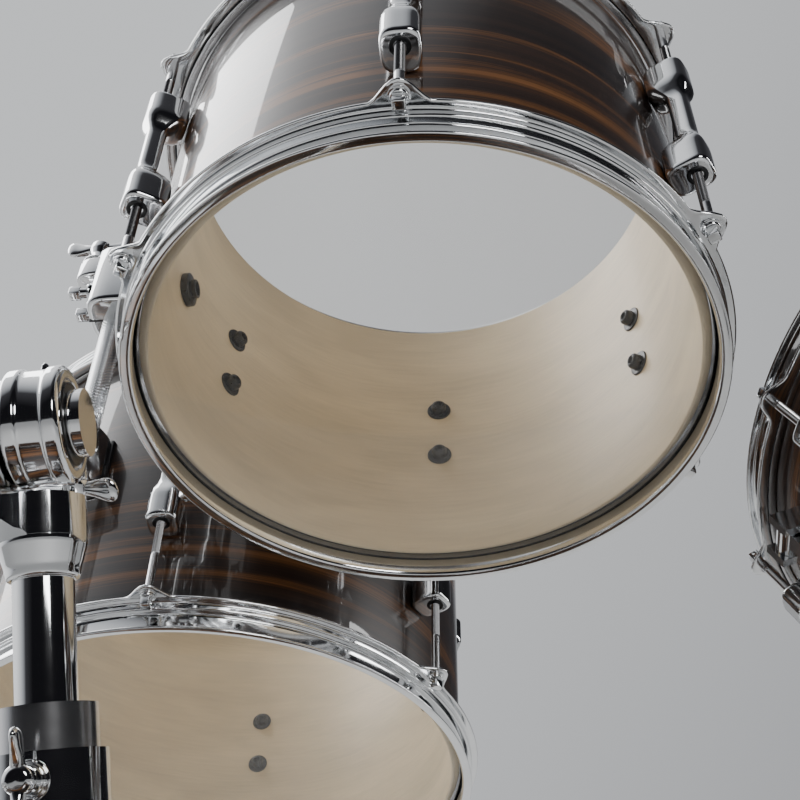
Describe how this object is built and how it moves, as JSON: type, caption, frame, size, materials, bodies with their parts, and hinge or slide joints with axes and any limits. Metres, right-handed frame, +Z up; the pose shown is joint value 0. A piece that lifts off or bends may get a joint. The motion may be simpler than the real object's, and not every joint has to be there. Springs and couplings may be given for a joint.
{
  "type": "acoustic drum kit",
  "caption": "Acoustic drum kit: bass drum with a holder carrying two tilted toms, and a snare drum in its basket on a folding stand.",
  "frame": {"origin": "centre of the kit's footprint box on the floor", "axes": "+Z up, +Y from the front head towards the player, +X towards the player's left"},
  "size_m": [1.1478, 0.905, 1.0096],
  "materials": {
    "veneer": "high-gloss lacquered striped veneer",
    "hoop_wood": "high-gloss lacquered maple, dark stained",
    "clear_head": "clear polyester film",
    "white_head": "coated translucent film",
    "chrome": "polished chrome plate",
    "black_steel": "black satin",
    "rubber": "moulded",
    "steel_wire": "drawn wire"
  },
  "bodies": {
    "bass_drum": {"bass_batter_head": "white_head", "bass_batter_hoop": "hoop_wood", "bass_claws": "chrome", "bass_front_head": "white_head", "bass_front_hoop": "hoop_wood", "bass_lugs": "chrome", "bass_shell": "veneer", "bass_tension_rods": "chrome", "spur_brackets": "chrome", "post_base": "chrome", "snare_stand_base": "chrome"},
    "right_spur": {"right_spur": "chrome", "right_spur_foot": "rubber"},
    "left_spur": {"left_spur": "chrome", "left_spur_foot": "rubber"},
    "base_wing": {"base_wing_bolt": "chrome"},
    "collar": {"post_collar": "chrome"},
    "post": {"holder_post": "chrome", "holder_casting": "chrome"},
    "tom12_tilter": {"tom12_tilter": "chrome"},
    "tom12_arm": {"tom12_l_rod": "chrome"},
    "tom12": {"tom12_batter_head": "white_head", "tom12_batter_hoop": "chrome", "tom12_bracket": "chrome", "tom12_lower_head": "clear_head", "tom12_lower_hoop": "chrome", "tom12_lug_bolts": "black_steel", "tom12_lugs": "chrome", "tom12_shell": "veneer", "tom12_tension_rods": "chrome"},
    "tom12_wing": {"tom12_wing_bolt": "chrome"},
    "tom14_tilter": {"tom14_tilter": "chrome"},
    "tom14_arm": {"tom14_l_rod": "chrome"},
    "tom14": {"tom14_batter_head": "white_head", "tom14_batter_hoop": "chrome", "tom14_bracket": "chrome", "tom14_lower_head": "clear_head", "tom14_lower_hoop": "chrome", "tom14_lug_bolts": "black_steel", "tom14_lugs": "chrome", "tom14_shell": "veneer", "tom14_tension_rods": "chrome"},
    "tom14_wing": {"tom14_wing_bolt": "chrome"},
    "stand_tube": {"snare_stand_tube": "chrome", "snare_stand_fork": "chrome"},
    "basket": {"snare_basket": "chrome"},
    "snare": {"snare_shell": "veneer", "snare_batter_head": "white_head", "snare_lower_head": "clear_head", "snare_batter_hoop": "chrome", "snare_lower_hoop": "chrome", "snare_lugs": "chrome", "snare_tension_rods": "chrome", "snare_strainer": "chrome", "snare_butt_plate": "chrome", "snare_wires": "steel_wire"},
    "strainer_lever": {"snare_strainer_lever": "chrome"},
    "stand_leg_1": {"snare_stand_leg_1": "chrome"},
    "stand_leg_2": {"snare_stand_leg_2": "chrome"},
    "stand_leg_3": {"snare_stand_leg_3": "chrome"}
  },
  "joints": [
    {"name": "right_spur_fold", "type": "hinge", "parent": "bass_drum", "child": "right_spur", "pos_m": [0.02259, -0.28679, 0.268], "axis": [-1, 0, 0], "range_deg": [0, 120]},
    {"name": "left_spur_fold", "type": "hinge", "parent": "bass_drum", "child": "left_spur", "pos_m": [-0.56141, -0.28679, 0.268], "axis": [-1, 0, 0], "range_deg": [0, 120]},
    {"name": "base_wing_turn", "type": "hinge", "parent": "bass_drum", "child": "base_wing", "pos_m": [-0.26941, -0.21779, 0.556], "axis": [0, -1, 0], "range_deg": [-90, 90]},
    {"name": "holder_swivel", "type": "hinge", "parent": "bass_drum", "child": "collar", "pos_m": [-0.26941, -0.19079, 0.568], "axis": [0, 0, 1], "range_deg": [-15, 6]},
    {"name": "holder_height", "type": "slide", "parent": "collar", "child": "post", "axis": [0, 0, 1], "range_m": [-0.03, 0.06]},
    {"name": "tom12_tilt", "type": "hinge", "parent": "post", "child": "tom12_tilter", "pos_m": [-0.26189, -0.20879, 0.7144], "axis": [1, 0, 0], "range_deg": [-7, 10]},
    {"name": "tom12_arm_roll", "type": "hinge", "parent": "tom12_tilter", "child": "tom12_arm", "pos_m": [-0.26189, -0.17763, 0.7217], "axis": [0, 0.9736, 0.2281], "range_deg": [-8, 8]},
    {"name": "tom12_turn", "type": "hinge", "parent": "tom12_arm", "child": "tom12", "pos_m": [-0.26189, -0.13173, 0.73245], "axis": [0.0906, 0.484, 0.8704], "range_deg": [-10, 10]},
    {"name": "tom12_wing_turn", "type": "hinge", "parent": "tom12", "child": "tom12_wing", "pos_m": [-0.26894, -0.06212, 0.85763], "axis": [0.0906, 0.484, 0.8704], "range_deg": [-90, 90]},
    {"name": "tom14_tilt", "type": "hinge", "parent": "post", "child": "tom14_tilter", "pos_m": [-0.33351, -0.20879, 0.7144], "axis": [1, 0, 0], "range_deg": [-10, 7]},
    {"name": "tom14_arm_roll", "type": "hinge", "parent": "tom14_tilter", "child": "tom14_arm", "pos_m": [-0.33351, -0.177, 0.71075], "axis": [0, 0.9935, -0.1141], "range_deg": [-8, 8]},
    {"name": "tom14_turn", "type": "hinge", "parent": "tom14_arm", "child": "tom14", "pos_m": [-0.33351, 0.00856, 0.68943], "axis": [0.0906, 0.484, 0.8704], "range_deg": [-10, 10]},
    {"name": "tom14_wing_turn", "type": "hinge", "parent": "tom14", "child": "tom14_wing", "pos_m": [-0.32919, 0.0556, 0.81219], "axis": [0.0906, 0.484, 0.8704], "range_deg": [-90, 90]},
    {"name": "snare_height", "type": "slide", "parent": "bass_drum", "child": "stand_tube", "axis": [0, 0, 1], "range_m": [-0.06, 0.08]},
    {"name": "snare_tilt", "type": "hinge", "parent": "stand_tube", "child": "basket", "pos_m": [0.35839, -0.13206, 0.56353], "axis": [-0.9107, -0.4131, 0], "range_deg": [-44.5, 8]},
    {"name": "snare_lift", "type": "slide", "parent": "basket", "child": "snare", "axis": [-0.2895, 0.6383, 0.7132], "range_m": [0, 0.08]},
    {"name": "strainer_throw", "type": "hinge", "parent": "snare", "child": "strainer_lever", "pos_m": [0.11312, -0.05613, 0.64837], "axis": [0, 0.7452, -0.6669], "range_deg": [0, 70]},
    {"name": "stand_leg_1_fold", "type": "hinge", "parent": "bass_drum", "child": "stand_leg_1", "pos_m": [0.38091, -0.11907, 0.052], "axis": [0.5, -0.866, 0], "range_deg": [0, 85]},
    {"name": "stand_leg_2_fold", "type": "hinge", "parent": "bass_drum", "child": "stand_leg_2", "pos_m": [0.33587, -0.11907, 0.052], "axis": [0.5, 0.866, 0], "range_deg": [0, 85]},
    {"name": "stand_leg_3_fold", "type": "hinge", "parent": "bass_drum", "child": "stand_leg_3", "pos_m": [0.35839, -0.15807, 0.052], "axis": [-1, 0, 0], "range_deg": [0, 85]}
  ]
}
